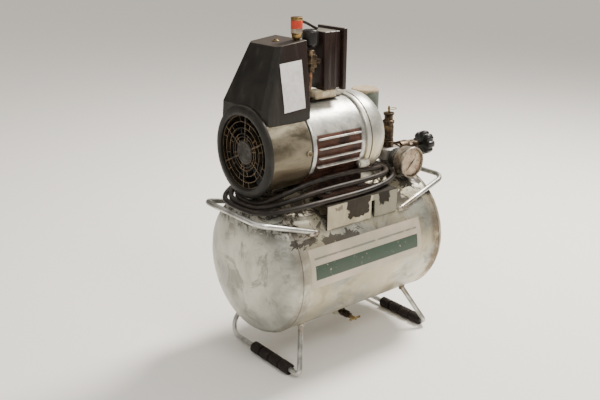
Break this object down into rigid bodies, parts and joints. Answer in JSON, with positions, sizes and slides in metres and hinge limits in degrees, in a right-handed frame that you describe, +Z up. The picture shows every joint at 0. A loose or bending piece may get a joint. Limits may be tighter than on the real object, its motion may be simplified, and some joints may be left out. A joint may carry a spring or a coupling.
{
  "type": "airbrush compressor",
  "caption": "Small oil-free piston air compressor: fan-cooled pump and motor on a horizontal tank with rod legs and carrying handles, gauge, valves and a wound mains cord.",
  "frame": {"origin": "on the surface it stands on, under the middle of the whole object without its cord", "axes": "+X along the tank from the fan end to the gauge end, +Y to the back (the gauge faces -Y), +Z up"},
  "size_m": [0.418, 0.2162, 0.523],
  "materials": {
    "tank_paint": "worn silver paint, satin",
    "zinc_rod": "zinc plated, dulled",
    "saddle_plate": "silver paint, chipped",
    "rubber": "matt",
    "foot_iron": "dark brown paint, worn",
    "cast_alloy": "stained casting",
    "motor_alloy": "die cast, satin",
    "steel": "satin",
    "brass": "tarnished",
    "copper_pipe": "dark copper",
    "duct_plastic": "dark brown grey, worn",
    "box_plastic": "dark brown bakelite",
    "cream_plastic": "aged cream",
    "black_plastic": "semi gloss",
    "cord_rubber": "matt",
    "switch_green": "grey green, worn",
    "gauge": "aged bezel",
    "needle": "black",
    "piston_ptfe": "off white"
  },
  "bodies": {
    "compressor": {"tank": "tank_paint", "left_leg": "zinc_rod", "right_leg": "zinc_rod", "left_foot_sleeve": "rubber", "right_foot_sleeve": "rubber", "left_handle": "zinc_rod", "right_handle": "zinc_rod", "drain_socket": "saddle_plate", "drain_cock_body": "brass", "front_saddle_plate": "saddle_plate", "rear_saddle_plate": "saddle_plate", "front_foot_rail": "foot_iron", "rear_foot_rail": "foot_iron", "mounting_bolt_front_left": "steel", "mounting_bolt_front_right": "steel", "mounting_bolt_rear_left": "steel", "mounting_bolt_rear_right": "steel", "crankcase": "cast_alloy", "air_duct_cover": "duct_plastic", "fan_grille": "duct_plastic", "cylinder": "cast_alloy", "valve_plate": "steel", "cylinder_head": "cast_alloy", "discharge_fitting": "brass", "intake_filter": "black_plastic", "unloader_valve": "brass", "unloader_lead": "cord_rubber", "delivery_pipe": "copper_pipe", "check_valve": "brass", "motor_frame": "motor_alloy", "motor_end_cover": "motor_alloy", "stator": "steel", "front_bearing": "steel", "rear_bearing": "steel", "box_bracket": "saddle_plate", "terminal_block": "cream_plastic", "control_box": "box_plastic", "control_box_lid": "box_plastic", "start_capacitor": "black_plastic", "manifold": "cast_alloy", "safety_valve": "brass", "gauge_adapter": "cast_alloy", "gauge_case": "gauge", "outlet_valve": "brass", "switch_pipe": "saddle_plate", "pressure_switch": "switch_green", "cord_gland": "rubber", "cord_tail": "cord_rubber", "cord_coil": "cord_rubber", "cord_end": "cord_rubber", "mains_plug": "black_plastic"},
    "pump_rotor": {"motor_shaft": "steel", "rotor_core": "steel", "cooling_fan": "black_plastic"},
    "connecting_rod": {"connecting_rod": "motor_alloy"},
    "piston": {"piston": "piston_ptfe"},
    "drain_wing": {"drain_cock_wing": "brass"},
    "safety_pull": {"safety_pull": "brass"},
    "needle": {"gauge_needle": "needle"},
    "outlet_knob": {"outlet_knob": "black_plastic"}
  },
  "joints": [
    {"name": "shaft_spin", "type": "hinge", "parent": "compressor", "child": "pump_rotor", "pos_m": [-0.12495, 0, 0.337], "axis": [1, 0, 0], "continuous": true},
    {"name": "crank_pin", "type": "hinge", "parent": "pump_rotor", "child": "connecting_rod", "pos_m": [-0.12495, 0, 0.331], "axis": [1, 0, 0], "continuous": true},
    {"name": "piston_stroke", "type": "slide", "parent": "compressor", "child": "piston", "axis": [0, 0, 1], "range_m": [0, 0.012]},
    {"name": "drain_turn", "type": "hinge", "parent": "compressor", "child": "drain_wing", "pos_m": [-0.00345, -0.04, 0.041], "axis": [0, -1, 0], "range_deg": [0, 360]},
    {"name": "safety_lift", "type": "slide", "parent": "compressor", "child": "safety_pull", "axis": [0, 0, 1], "range_m": [0, 0.003], "stiffness_N_per_m": 800},
    {"name": "gauge_sweep", "type": "hinge", "parent": "compressor", "child": "needle", "pos_m": [0.10505, -0.0628, 0.286], "axis": [0, 1, 0], "range_deg": [0, 270], "stiffness_Nm_per_rad": 0.0002},
    {"name": "outlet_turn", "type": "hinge", "parent": "compressor", "child": "outlet_knob", "pos_m": [0.20125, 0, 0.2905], "axis": [1, 0, 0], "range_deg": [0, 900]}
  ],
  "couplings": [
    {"joint": "crank_pin", "follows": "shaft_spin", "ratio": -1}
  ]
}
